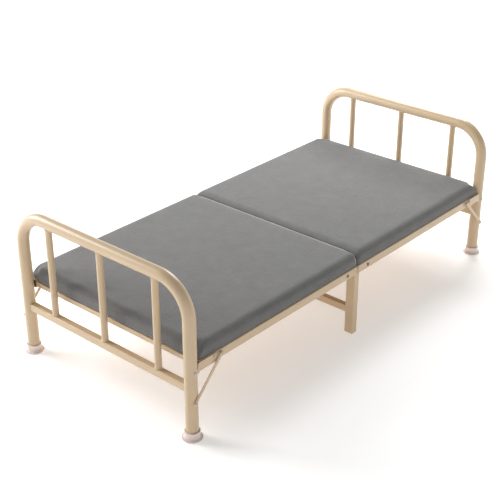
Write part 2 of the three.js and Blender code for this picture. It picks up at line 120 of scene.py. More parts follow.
class Graph:
    """The node tree of a material or of the room, built one node at a time."""

    def __init__(self, owner: bpy.types.Material | bpy.types.World) -> None:
        """Empties the owner's node tree."""
        self.owner = owner
        owner.use_nodes = True
        self.tree = owner.node_tree
        self.tree.nodes.clear()

    @classmethod
    def for_material(cls, name: str) -> "Graph":
        """Returns the graph of a new material."""
        return cls(bpy.data.materials.new(name))

    def node(self, kind: str, settings: Optional[dict] = None,
             sockets: Optional[dict] = None) -> bpy.types.Node:
        """Adds a node.

        Args:
            kind: the node's type, such as "ShaderNodeTexNoise".
            settings: its properties, set before its sockets.
            sockets: socket names or indices, each with a number, a colour, a Value or a socket.

        Returns:
            The new node.
        """
        made = self.tree.nodes.new(kind)
        for key, value in (settings or {}).items():
            setattr(made, key, value)
        for key, value in (sockets or {}).items():
            target = made.inputs[key]
            if isinstance(value, Value):
                value = value.socket
            if isinstance(value, bpy.types.NodeSocket):
                self.tree.links.new(value, target)
            else:
                target.default_value = value
        return made

    def math(self, operation: str, *values: Number, clamp: bool = False) -> Value:
        """Adds a Math node and returns its result."""
        made = self.node("ShaderNodeMath", {"operation": operation, "use_clamp": clamp},
                         dict(enumerate(values)))
        return Value(self, made.outputs[0])

    def place(self, scale: tuple[float, float, float] = (1, 1, 1),
              turn: float = 0.0) -> bpy.types.NodeSocket:
        """Returns the piece's own coordinates, stretched by scale and turned about Z."""
        where = self.node("ShaderNodeTexCoord")
        mapping = self.node("ShaderNodeMapping", sockets={
            0: where.outputs["Object"], "Rotation": (0, 0, turn), "Scale": scale})
        return mapping.outputs[0]

    def noise(self, where: bpy.types.NodeSocket, scale: float, detail: float = 2.0,
              rough: float = 0.5) -> Value:
        """Returns a noise of scale features per metre."""
        made = self.node("ShaderNodeTexNoise", {"noise_dimensions": "3D"},
                         {"Vector": where, "Scale": scale, "Detail": detail, "Roughness": rough})
        return Value(self, made.outputs[0])

    def ramp(self, value: Value, low: float, high: float) -> Value:
        """Returns value stretched so that low gives 0 and high gives 1, and cut off there."""
        made = self.node("ShaderNodeMapRange", {"clamp": True},
                         {0: value, 1: low, 2: high, 3: 0.0, 4: 1.0})
        return Value(self, made.outputs[0])

    def mix(self, share: Value, first: Colour, second: Colour) -> bpy.types.NodeSocket:
        """Returns first turning to second as share goes from 0 to 1."""
        made = self.node("ShaderNodeMix", {"data_type": "RGBA"}, {0: share, 6: first, 7: second})
        return made.outputs[2]

    def bump(self, height: Value, distance: float, strength: float = 1.0) -> bpy.types.NodeSocket:
        """Returns a normal bent by a height whose full range is distance, in metres."""
        made = self.node("ShaderNodeBump",
                         sockets={"Strength": strength, "Distance": distance, "Height": height})
        return made.outputs[0]

    def finish(self, **sockets: object) -> bpy.types.Material:
        """Adds the surface shader and the output.

        Args:
            sockets: the shader's sockets, with _ for each space in their names.

        Returns:
            The finished material.
        """
        named = {name.replace("_", " "): value for name, value in sockets.items()}
        shader = self.node("ShaderNodeBsdfPrincipled", sockets=named)
        self.node("ShaderNodeOutputMaterial", sockets={"Surface": shader.outputs[0]})
        return self.owner


# Finishes


@dataclass(frozen=True)
class PowderCoat:
    """Cream powder coat: an orange-peel skin, small shifts of tone and a few faint rubs."""

    colour: Colour = (0.6, 0.45, 0.285, 1)
    rubbed: Colour = (0.53, 0.385, 0.235, 1)
    peel_per_metre: float = 420
    peel_depth: float = 0.00006

    def build(self) -> bpy.types.Material:
        """Returns the material."""
        graph = Graph.for_material("cream_powder_coat")
        where = graph.place()
        tone = graph.ramp(graph.noise(where, 7, 3), 0.3, 0.75)
        rubs = graph.ramp(graph.noise(graph.place((1, 1, 0.25), 0.6), 160, 4, 0.65), 0.66, 0.78)
        peel = graph.noise(where, self.peel_per_metre, 1)
        colour = graph.mix(tone * 0.35 + rubs * 0.25, self.colour, self.rubbed)
        return graph.finish(
            Base_Color=colour,
            Roughness=0.32 + tone * 0.08 + rubs * 0.12,
            Coat_Weight=0.3 - rubs * 0.15,
            Coat_Roughness=0.22,
            Normal=graph.bump(peel, self.peel_depth, 0.6),
        )


@dataclass(frozen=True)
class SoftRubber:
    """Off-white rubber with a matte mould grain and a little dust low down."""

    colour: Colour = (0.80, 0.69, 0.64, 1)
    dusty: Colour = (0.58, 0.49, 0.44, 1)
    dust_height: float = 0.012

    def build(self) -> bpy.types.Material:
        """Returns the material."""
        graph = Graph.for_material("soft_rubber")
        where = graph.place()
        height = Value(graph, graph.node("ShaderNodeSeparateXYZ", sockets={0: where}).outputs[2])
        low = 1 - graph.ramp(height, 0, self.dust_height)
        speckle = graph.noise(where, 900, 3)
        blotch = graph.noise(where, 60, 3)
        share = low * graph.ramp(blotch, 0.35, 0.7) * 0.6 + graph.ramp(speckle, 0.45, 0.8) * 0.12
        return graph.finish(
            Base_Color=graph.mix(share, self.colour, self.dusty),
            Roughness=0.6 + speckle * 0.15,
            Normal=graph.bump(speckle, 0.00008, 0.5),
        )


@dataclass(frozen=True)
class DarkZinc:
    """Dark plated steel with a brushed, uneven sheen."""

    name: str = "dark_zinc"
    colour: Colour = (0.16, 0.14, 0.13, 1)
    worn: Colour = (0.42, 0.39, 0.36, 1)

    def build(self) -> bpy.types.Material:
        """Returns the material."""
        graph = Graph.for_material(self.name)
        where = graph.place()
        blotch = graph.noise(where, 700, 3)
        grain = graph.noise(graph.place((1, 6, 1)), 2200, 2)
        share = graph.ramp(blotch, 0.55, 0.8) * 0.6
        return graph.finish(
            Base_Color=graph.mix(share, self.colour, self.worn),
            Metallic=0.85,
            Roughness=0.34 + grain * 0.22,
            Normal=graph.bump(grain, 0.00003, 0.6),
        )


@dataclass(frozen=True)
class Plywood:
    """Thin plywood with grain that runs across the cot."""

    colour: Colour = (0.47, 0.31, 0.17, 1)
    grain: Colour = (0.30, 0.18, 0.09, 1)

    def build(self) -> bpy.types.Material:
        """Returns the material."""
        graph = Graph.for_material("plywood")
        streaks = graph.noise(graph.place((30, 1, 30)), 3.5, 6, 0.65)
        pores = graph.noise(graph.place((1, 0.05, 1)), 900, 2)
        share = graph.ramp(streaks, 0.38, 0.68) * 0.8 + graph.ramp(pores, 0.6, 0.8) * 0.3
        return graph.finish(
            Base_Color=graph.mix(share, self.colour, self.grain),
            Roughness=0.62 + pores * 0.2,
            Normal=graph.bump(pores + streaks, 0.0001, 0.5),
        )


@dataclass(frozen=True)
class WovenCloth:
    """A fine plain weave in mid grey, with slubs and a soft mottle.

    The weave lies flat on each face of the pad: its directions follow the way that the cloth faces.
    """

    name: str = "woven_cloth"
    light: Colour = (0.187, 0.185, 0.181, 1)
    dark: Colour = (0.082, 0.0807, 0.079, 1)
    threads_per_metre: float = 620
    slubs_per_metre: float = 300
    depth: float = 0.0003
    turn_over: tuple[float, float] = (0.68, 0.74)

    def build(self) -> bpy.types.Material:
        """Returns the material."""
        graph = Graph.for_material(self.name)
        where = graph.node("ShaderNodeTexCoord")
        facing = graph.node("ShaderNodeVectorMath", {"operation": "ABSOLUTE"},
                            {0: where.outputs["Normal"]})
        faces = graph.node("ShaderNodeSeparateXYZ", sockets={0: facing.outputs[0]})
        spots = graph.node("ShaderNodeSeparateXYZ", sockets={0: where.outputs["Object"]})
        x, y, z = (Value(graph, output) for output in spots.outputs)
        on_end = graph.ramp(Value(graph, faces.outputs[0]), *self.turn_over)
        on_side = graph.ramp(Value(graph, faces.outputs[1]), *self.turn_over)
        warp = x * (1 - on_end) + z * on_end
        weft = y * (1 - on_side) + z * on_side
        turns = math.pi * self.threads_per_metre
        warp_wave = graph.math("SINE", warp * turns)
        weft_wave = graph.math("SINE", weft * turns)
        over = graph.ramp(warp_wave * weft_wave, -0.3, 0.3)
        along, across = graph.math("ABSOLUTE", warp_wave), graph.math("ABSOLUTE", weft_wave)
        weave = along * over + across * (1 - over)
        slub_warp = graph.noise(graph.place((1, 0.05, 1)), self.slubs_per_metre, 2)
        slub_weft = graph.noise(graph.place((0.05, 1, 1)), self.slubs_per_metre, 2)
        mottle = graph.noise(graph.place(), 16, 4, 0.6)
        melange = graph.noise(graph.place(), 260, 3, 0.7)
        share = graph.math(
            "ADD",
            graph.ramp(slub_warp, 0.3, 0.75) * 0.28 + graph.ramp(slub_weft, 0.3, 0.75) * 0.22,
            graph.ramp(mottle, 0.3, 0.7) * 0.2 + graph.ramp(melange, 0.3, 0.7) * 0.2 + weave * 0.2,
            clamp=True,
        )
        return graph.finish(
            Base_Color=graph.mix(share, self.dark, self.light),
            Roughness=0.86 + weave * 0.1,
            Sheen_Weight=0.35,
            Sheen_Roughness=0.45,
            Normal=graph.bump(weave + melange * 0.5, self.depth, 0.55),
        )


@dataclass(frozen=True)
class StudioFloor:
    """A plain pale floor that glows softly, and more so away from the cot."""

    colour: Colour = (0.93, 0.93, 0.93, 1)
    glow: float = 0.8
    near_glow: Colour = (0.42, 0.42, 0.42, 1)
    far_glow: Colour = (1, 1, 1, 1)
    near: float = 1.2
    far: float = 7.0

    def build(self) -> bpy.types.Material:
        """Returns the material."""
        graph = Graph.for_material("pale_floor")
        cloud = graph.noise(graph.place(), 3, 2)
        away = graph.node("ShaderNodeVectorMath", {"operation": "LENGTH"}, {0: graph.place()})
        share = graph.ramp(Value(graph, away.outputs["Value"]), self.near, self.far)
        return graph.finish(Base_Color=self.colour, Roughness=0.85 + cloud * 0.1,
                            Emission_Color=graph.mix(share, self.near_glow, self.far_glow),
                            Emission_Strength=self.glow)


# Modelling by hand


class Bench:
    """The operators that shape a piece, as used by hand."""

    @staticmethod
    def clear() -> None:
        """Leaves edit mode and deselects everything."""
        if bpy.context.object and bpy.context.object.mode != "OBJECT":
            bpy.ops.object.mode_set(mode="OBJECT")
        bpy.ops.object.select_all(action="DESELECT")

    @staticmethod
    def settle(name: Optional[str] = None) -> bpy.types.Object:
        """Writes the active object's place into its mesh.

        Args:
            name: its new name, or None to keep the one it has.

        Returns:
            The object.
        """
        piece = bpy.context.object
        bpy.ops.object.transform_apply(location=True, rotation=True, scale=True)
        if name:
            piece.name = name
            piece.data.name = name
        return piece

    @classmethod
    def cube(cls, name: str, low: Vector, high: Vector) -> bpy.types.Object:
        """Adds a box.

        Args:
            name: the box's name.
            low: its lowest corner.
            high: its highest corner.

        Returns:
            The box.
        """
        cls.clear()
        low, high = Vector(low), Vector(high)
        bpy.ops.mesh.primitive_cube_add(size=1, location=(low + high) / 2, scale=high - low)
        return cls.settle(name)

    @classmethod
    def ring(cls, name: str, radius: float, place: Vector, sides: int) -> bpy.types.Object:
        """Adds a flat ring of edges round an upright axis.

        Args:
            name: the ring's name.
            radius: its radius.
            place: its middle.
            sides: how many edges it has.

        Returns:
            The ring.
        """
        cls.clear()
        bpy.ops.mesh.primitive_circle_add(vertices=sides, radius=radius, fill_type="NOTHING",
                                          location=place)
        return cls.settle(name)

    @classmethod
    def turned(cls, name: str, profile: Profile, place: Vector, turn: Turn = (0, 0, 0),
               sides: int = 32, crease: float = 35) -> bpy.types.Object:
        """Turns a profile on a lathe, as a closed solid.

        Args:
            name: the piece's name.
            profile: steps of (radius, height) along the lathe's axis.
            place: where the lathe's origin ends up.
            turn: how the axis turns from upright, in radians about X, Y and Z.
            sides: facets round the axis.
            crease: the angle in degrees past which an edge stays sharp.

        Returns:
            The piece.
        """
        (radius, level), *steps = profile
        piece = cls.ring(name, radius, (0, 0, level), sides)
        cls.edit("EDGE")
        bpy.ops.mesh.select_all(action="SELECT")
        for next_radius, next_level in steps:
            rise = {"value": (0, 0, next_level - level)}
            bpy.ops.mesh.extrude_region_move(TRANSFORM_OT_translate=rise)
            scale = next_radius / radius
            bpy.ops.transform.resize(value=(scale, scale, 1), center_override=(0, 0, next_level))
            radius, level = next_radius, next_level
        bpy.ops.mesh.select_all(action="SELECT")
        bpy.ops.mesh.fill_holes(sides=0)
        bpy.ops.object.mode_set(mode="OBJECT")
        cls.tidy(piece)
        cls.smooth(piece, crease)
        return cls.shift(piece, place, turn)

    @classmethod
    def shift(cls, piece: bpy.types.Object, place: Vector,
              turn: Turn = (0, 0, 0)) -> bpy.types.Object:
        """Turns a piece about the origin and then moves it, both written into its mesh.

        Args:
            piece: the piece.
            place: where the origin ends up.
            turn: how far it turns about X, Y and Z, in radians.

        Returns:
            The same piece.
        """
        cls.clear()
        piece.select_set(True)
        bpy.context.view_layer.objects.active = piece
        piece.rotation_euler = turn
        piece.location = place
        return cls.settle()

    @classmethod
    def bar(cls, name: str, low: Vector, high: Vector, axis: int, corner: float,
            wall: float = 0.0) -> bpy.types.Object:
        """Makes a rectangular bar or tube with rounded long edges.

        Args:
            name: the piece's name.
            low: its lowest corner.
            high: its highest corner.
            axis: 0, 1 or 2 for a bar along X, Y or Z.
            corner: the radius of its long edges.
            wall: a tube's wall, or 0 for a closed bar.

        Returns:
            The piece.
        """
        piece = cls.cube(name, low, high)
        if wall:
            cls.edit()
            cls.pick("faces", lambda face: abs(face.normal[axis]) > ALONG)
            bpy.ops.mesh.delete(type="FACE")
            bpy.ops.object.mode_set(mode="OBJECT")
        cls.edit("EDGE")
        cls.pick("edges", lambda edge: abs(
            (edge.verts[1].co - edge.verts[0].co).normalized()[axis]) > ALONG)
        bpy.ops.mesh.bevel(offset=corner, segments=5, affect="EDGES")
        bpy.ops.object.mode_set(mode="OBJECT")
        cls.tidy(piece)
        if wall:
            cls.modify(piece, "SOLIDIFY", thickness=wall, offset=-1)
        cls.smooth(piece)
        return piece

    @classmethod
    def join(cls, pieces: Iterable[bpy.types.Object], name: str) -> bpy.types.Object:
        """Joins pieces into one.

        Args:
            pieces: the pieces, of which the first takes in the others.
            name: its new name.

        Returns:
            The first piece.
        """
        cls.clear()
        pieces = list(pieces)
        for piece in pieces:
            piece.select_set(True)
        bpy.context.view_layer.objects.active = pieces[0]
        bpy.ops.object.join()
        pieces[0].name = pieces[0].data.name = name
        return pieces[0]

    @staticmethod
    def edit(pick: str = "FACE") -> None:
        """Enters edit mode with nothing selected, ready to pick VERT, EDGE or FACE."""
        bpy.ops.object.mode_set(mode="EDIT")
        bpy.ops.mesh.select_mode(type=pick)
        bpy.ops.mesh.select_all(action="DESELECT")

    @staticmethod
    def pick(kind: str, test: Callable[[object], bool]) -> None:
        """Selects parts of the piece in edit mode.

        Args:
            kind: "faces", "edges" or "verts".
            test: tells whether one of them is picked.
        """
        piece = bpy.context.object
        mesh = bmesh.from_edit_mesh(piece.data)
        for element in getattr(mesh, kind):
            if test(element):
                element.select_set(True)
        mesh.select_flush_mode()
        bmesh.update_edit_mesh(piece.data)

    @staticmethod
    def modify(piece: bpy.types.Object, kind: str, **settings: object) -> None:
        """Adds a modifier and applies it.

        Args:
            piece: the piece.
            kind: the modifier's type.
            settings: its properties.
        """
        bpy.context.view_layer.objects.active = piece
        piece.select_set(True)
        bpy.ops.object.modifier_add(type=kind)
        modifier = piece.modifiers[-1]
        for key, value in settings.items():
            setattr(modifier, key, value)
        bpy.ops.object.modifier_apply(modifier=modifier.name)

    @staticmethod
    def smooth(piece: bpy.types.Object, angle: float = 35) -> None:
        """Shades the piece smooth except at edges sharper than angle, in degrees."""
        bpy.context.view_layer.objects.active = piece
        piece.select_set(True)
        bpy.ops.object.shade_smooth_by_angle(angle=math.radians(angle))

    @classmethod
    def tidy_copy(cls, piece: bpy.types.Object) -> None:
        """Merges the loose triangles of a copied CAD node."""
        bpy.context.view_layer.objects.active = piece
        piece.select_set(True)
        cls.edit()
        bpy.ops.mesh.select_all(action="SELECT")
        bpy.ops.mesh.remove_doubles(threshold=DOUBLED)
        bpy.ops.object.mode_set(mode="OBJECT")

    @classmethod
    def tidy(cls, piece: bpy.types.Object) -> None:
        """Merges doubled points and turns every face outwards."""
        cls.edit()
        bpy.ops.mesh.select_all(action="SELECT")
        bpy.ops.mesh.remove_doubles(threshold=DOUBLED)
        bpy.ops.mesh.normals_make_consistent(inside=False)
        bpy.ops.object.mode_set(mode="OBJECT")

    @classmethod
    def copy(cls, piece: bpy.types.Object, name: str) -> bpy.types.Object:
        """Copies a piece.

        Args:
            piece: the piece.
            name: the copy's name.

        Returns:
            The copy, with its own mesh.
        """
        made = piece.copy()
        made.data = piece.data.copy()
        made.name = made.data.name = name
        bpy.context.collection.objects.link(made)
        return made

    @classmethod
    def placed(cls, piece: bpy.types.Object, name: str, place: Vector,
               turn: Turn = (0, 0, 0)) -> bpy.types.Object:
        """Returns a copy of the piece under a new name, turned about the origin and then moved."""
        return cls.shift(cls.copy(piece, name), place, turn)

    @staticmethod
    def discard(piece: bpy.types.Object) -> None:
        """Removes a piece that was only there to be copied."""
        bpy.data.objects.remove(piece)


class Dresser:
    """Gives pieces and CAD nodes their finishes, bodies and slots."""

    def __init__(self) -> None:
        """Builds every finish once."""
        makers = {Slot.PAINT: PowderCoat(), Slot.RUBBER: SoftRubber(), Slot.FABRIC: WovenCloth(),
                  Slot.PLYWOOD: Plywood(), Slot.ZINC: DarkZinc()}
        self.materials = {slot: maker.build() for slot, maker in makers.items()}
        # Pale cloth for the foot pad's sewn edge: its light colour is a painted highlight that
        # stands for rim light along the seam end.
        self.piping = WovenCloth("painted_rim_highlight_cloth", light=(0.7, 0.69, 0.67, 1),
                                 dark=(0.5, 0.49, 0.475, 1)).build()
        self.bright_zinc = DarkZinc("bright_zinc", colour=(0.5, 0.46, 0.42, 1),
                                    worn=(0.62, 0.58, 0.54, 1)).build()
        bodies = frame["record"]["behaviour"]["bodies"]
        self.bodies = {node: body for body, nodes in bodies.items() for node in nodes}

    def dress(self, piece: bpy.types.Object, slot: Slot, node: str, replaces: bool = True,
              material: Optional[bpy.types.Material] = None) -> None:
        """Finishes a new piece.

        Args:
            piece: the piece, in place.
            slot: its material slot.
            node: the CAD node that it belongs with.
            replaces: whether it stands for that node.
            material: a finish of its own, or None for the slot's.
        """
        piece.data.materials.clear()
        piece.data.materials.append(material or self.materials[slot])
        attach(piece, self.bodies[node])
        if replaces:
            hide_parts(node)
        LOG.info("%s rides on %s", piece.name, self.bodies[node])

    def repaint(self, node: str, slot: Slot, edge: float = 0.0) -> None:
        """Gives a CAD node its finish.

        Args:
            node: the node's name.
            slot: its material slot.
            edge: how far its edges are rounded, in metres.
        """
        piece = frame["nodes"][node]
        if not piece.material_slots:
            piece.data.materials.append(None)
        for place in piece.material_slots:
            place.material = self.materials[slot]
        if edge:
            weld = piece.modifiers.new("weld", "WELD")
            weld.merge_threshold = 10 * DOUBLED
            bevel = piece.modifiers.new("edges", "BEVEL")
            bevel.width = edge
            bevel.segments = 2
            bevel.limit_method = "ANGLE"
            bevel.angle_limit = math.radians(50)
            bevel.harden_normals = True
        LOG.info("%s repainted", node)


def middle(node: str) -> Vector:
    """Returns the middle of a CAD node's box."""
    low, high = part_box(node)
    return (Vector(low) + Vector(high)) / 2


def size(node: str) -> Vector:
    """Returns the size of a CAD node's box."""
    low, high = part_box(node)
    return Vector(high) - Vector(low)


# Sub-assemblies


@dataclass
class Arch:
    """One end: a bent tube, its crossbar, three balusters and two rubber feet."""

    end: str
    dresser: Dresser
    wall: float = 0.0018
    bend_radius: float = 0.130
    sides: int = 48
    bend_steps: int = 20
    weld: float = 0.0022
    bar_corner: float = 0.0035
    foot_wall: float = 0.0045
    foot_rim: float = 0.0022

    def __post_init__(self) -> None:
        """Reads the tube's places from its CAD node."""
        low, high = (Vector(corner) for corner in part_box(f"{self.end}_arch_tube"))
        self.radius = (high.x - low.x) / 2
        self.x = (low.x + high.x) / 2
        self.leg_y = high.y - self.radius
        self.base_z = low.z
        self.top_z = high.z - self.radius

    def build(self) -> None:
        """Builds and dresses the whole end."""
        self.build_tube()
        self.build_crossbar()
        self.build_balusters()
        self.build_feet()

    def build_tube(self) -> None:
        """Bends the tube: up one leg, round, over the top and down the other."""
        bend_y = self.leg_y - self.bend_radius
        bend_z = self.top_z - self.bend_radius
        start = (self.x, -self.leg_y, self.base_z)
        rise = bend_z - self.base_z
        tube = Bench.ring(f"{self.end}_bent_tube", self.radius, start, self.sides)
        Bench.edit("EDGE")
        bpy.ops.mesh.select_all(action="SELECT")
        for side, path in ((-1, (0, 0, rise)), (1, (0, 2 * bend_y, 0))):
            bpy.ops.mesh.extrude_region_move(TRANSFORM_OT_translate={"value": path})
            bpy.ops.mesh.spin(steps=self.bend_steps, angle=math.pi / 2, axis=(1, 0, 0),
                              center=(self.x, side * bend_y, bend_z))
        bpy.ops.mesh.extrude_region_move(TRANSFORM_OT_translate={"value": (0, 0, -rise)})
        bpy.ops.object.mode_set(mode="OBJECT")
        Bench.tidy(tube)
        Bench.modify(tube, "SOLIDIFY", thickness=self.wall, offset=-1)
        Bench.smooth(tube)
        self.dresser.dress(tube, Slot.PAINT, f"{self.end}_arch_tube")

    def build_crossbar(self) -> None:
        """Builds the rectangular bar between the legs, whose ends run into the tubes."""
        node = f"{self.end}_arch_crossbar"
        low, high = (Vector(corner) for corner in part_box(node))
        low.y, high.y = -self.leg_y, self.leg_y
        bar = Bench.bar(f"{self.end}_crossbar", low, high, 1, self.bar_corner)
        self.dresser.dress(bar, Slot.PAINT, node)

    def build_balusters(self) -> None:
        """Builds one baluster with a weld round each end, and copies it to its three places."""
        nodes = [f"{self.end}_baluster_{spot}" for spot in ("left", "middle", "right")]
        radius = size(nodes[0]).x / 2
        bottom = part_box(f"{self.end}_arch_crossbar")[1][2]
        length = self.top_z - self.radius - bottom
        bead = self.weld
        profile = [(radius, -bead), (radius + bead, -bead * 0.2), (radius + bead * 0.7, bead * 0.6),
                   (radius + bead * 0.1, bead * 1.3), (radius, bead * 2), (radius, length - bead),
                   (radius + bead * 0.3, length), (radius + bead, length + bead),
                   (radius, length + bead * 3)]
        model = Bench.turned("baluster", profile, (self.x, 0, bottom), sides=40)
        for node in nodes:
            bar = Bench.placed(model, f"{node}_bar", (0, middle(node).y, 0))
            self.dresser.dress(bar, Slot.PAINT, node)
        Bench.discard(model)

    def build_feet(self) -> None:
        """Turns one rubber foot, a ringed flange and a collar with a rolled rim, and copies it."""
        nodes = [f"{self.end}_rubber_foot_{side}" for side in SIDES]
        flange, height = size(nodes[0]).x / 2, size(nodes[0]).z
        collar = self.radius + self.foot_wall
        rim = self.foot_rim
        edge = [(flange - 0.003, 0), (flange - 0.0008, 0.0006), (flange, 0.0022), (flange, 0.0042),
                (flange - 0.0008, 0.0056), (flange - 0.0024, 0.0062)]
        groove = [(flange - 0.0032, 0.0055), (flange - 0.0042, 0.0055), (flange - 0.0052, 0.0066)]
        sleeve = [(collar + 0.0042, 0.0076), (collar + 0.0014, 0.0092), (collar, 0.0120),
                  (collar, height - rim * 2.6)]
        roll = [(collar + rim * 0.35, height - rim * 2), (collar + rim * 0.5, height - rim * 1.2),
                (collar + rim * 0.3, height - rim * 0.4), (collar - rim * 0.3, height),
                (collar - rim, height - rim * 0.2), (self.radius + 0.0005, height - rim * 0.8)]
        profile = edge + groove + sleeve + roll
        model = Bench.turned("rubber_foot", profile, (self.x, 0, 0), sides=64, crease=50)
        for node in nodes:
            foot = Bench.placed(model, f"{node}_boot", (0, middle(node).y, 0))
            self.dresser.dress(foot, Slot.RUBBER, node)
        Bench.discard(model)


@dataclass
class Fasteners:
    """The bolts, studs and rivets: a domed head, a shank, and a nut or a closing head."""

    dresser: Dresser
    shank: float = 0.004
    head_radius: float = 0.0066
    rivet_radius: float = 0.005
    head_height: float = 0.0032
    nut_height: float = 0.0038
    rivet_height: float = 0.0022

    def build(self) -> None:
        """Models each kind once and copies it to every place that it is used."""
        for kind in ("arm_bolt", "arch_bolt", "hinge_bolt", "strut_stud", "strut_rivet"):
            bright = None if kind == "hinge_bolt" else self.dresser.bright_zinc
            model = self.model(kind)
            for end in ENDS:
                for name, side in SIDES.items():
                    node = f"{end}_{kind}_{name}"
                    low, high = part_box(node)
                    centre = middle(node)
                    place = (centre.x, high.y if side > 0 else low.y, centre.z)
                    turn = (0, 0, 0 if side > 0 else math.pi)
                    piece = Bench.placed(model, f"{node}_head", place, turn)
                    self.dresser.dress(piece, Slot.ZINC, node, material=bright)
            Bench.discard(model)

    def model(self, kind: str) -> bpy.types.Object:
        """Makes one fastener, whose head faces +Y and ends at the origin.

        Args:
            kind: the kind, as its CAD nodes are named.

        Returns:
            The fastener.
        """
        rivet = kind == "strut_rivet"
        wide = self.rivet_radius if rivet else self.head_radius
        shank = min(self.shank, wide * 0.6)
        length = size(f"foot_{kind}_left").y
        thick = self.rivet_height if rivet else self.head_height
        turn = (-math.pi / 2, 0, 0)
        dome = [(shank, -length + 0.0005), (shank, -thick), (wide * 0.97, -thick),
                (wide, -thick * 0.8), (wide * 0.93, -thick * 0.38), (wide * 0.75, -thick * 0.14),
                (wide * 0.45, -thick * 0.03), (wide * 0.12, 0)]
        inner = -length + (self.rivet_height if rivet else self.nut_height)
        nut = wide * 0.93
        hexagon = [(nut * 0.88, -length), (nut, -length + 0.0007), (nut, inner - 0.0003),
                   (nut * 0.95, inner)]
        head = Bench.turned("dome", dome, (0, 0, 0), turn, sides=28, crease=40)
        back = Bench.turned("nut", hexagon, (0, 0, 0), turn, sides=20 if rivet else 6, crease=20)
        return Bench.join([head, back], kind)


@dataclass
class HalfFrame:
    """One half of the bed: two side rails, three cross rails and a board."""

    end: str
    dresser: Dresser
    rail_corner: float = 0.004
    rail_wall: float = 0.0018
    cross_corner: float = 0.003
    board_edge: float = 0.0008
    flat_edge: float = 0.0005

    def build(self) -> None:
        """Builds and dresses the half's hard parts."""
        first = f"{self.end}_side_rail_left"
        model = Bench.bar("side_rail", *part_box(first), 0, self.rail_corner, self.rail_wall)
        for side in SIDES:
            node = f"{self.end}_side_rail_{side}"
            rail = Bench.placed(model, f"{node}_tube", middle(node) - middle(first))
            self.dresser.dress(rail, Slot.PAINT, node)
        Bench.discard(model)
        for kind in ("inner_rail", "slat", "end_rail"):
            node = f"{self.end}_{kind}"
            rail = Bench.bar(f"{node}_tube", *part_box(node), 1, self.cross_corner)
            self.dresser.dress(rail, Slot.PAINT, node)
        self.dresser.repaint(f"{self.end}_board", Slot.PLYWOOD, self.board_edge)
        for side in SIDES:
            self.dresser.repaint(f"{self.end}_arm_{side}", Slot.PAINT, self.flat_edge)
            self.dresser.repaint(f"{self.end}_strut_{side}", Slot.PAINT, self.flat_edge)


@dataclass
class MiddleSupport:
    """The two middle legs with their hinge plates, and the bar between them."""

    dresser: Dresser
    into_leg: float = 0.002
    bar_corner: float = 0.0035
    leg_edge: float = 0.001

    def build(self) -> None:
        """Builds and dresses the support."""
        low, high = (Vector(corner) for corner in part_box("middle_crossbar"))
        high.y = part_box("middle_leg_left")[0].y + self.into_leg
        low.y = -high.y
        bar = Bench.bar("middle_bar", low, high, 1, self.bar_corner)
        self.dresser.dress(bar, Slot.PAINT, "middle_crossbar")
        for side in SIDES:
            self.dresser.repaint(f"middle_leg_{side}", Slot.PAINT, self.leg_edge)


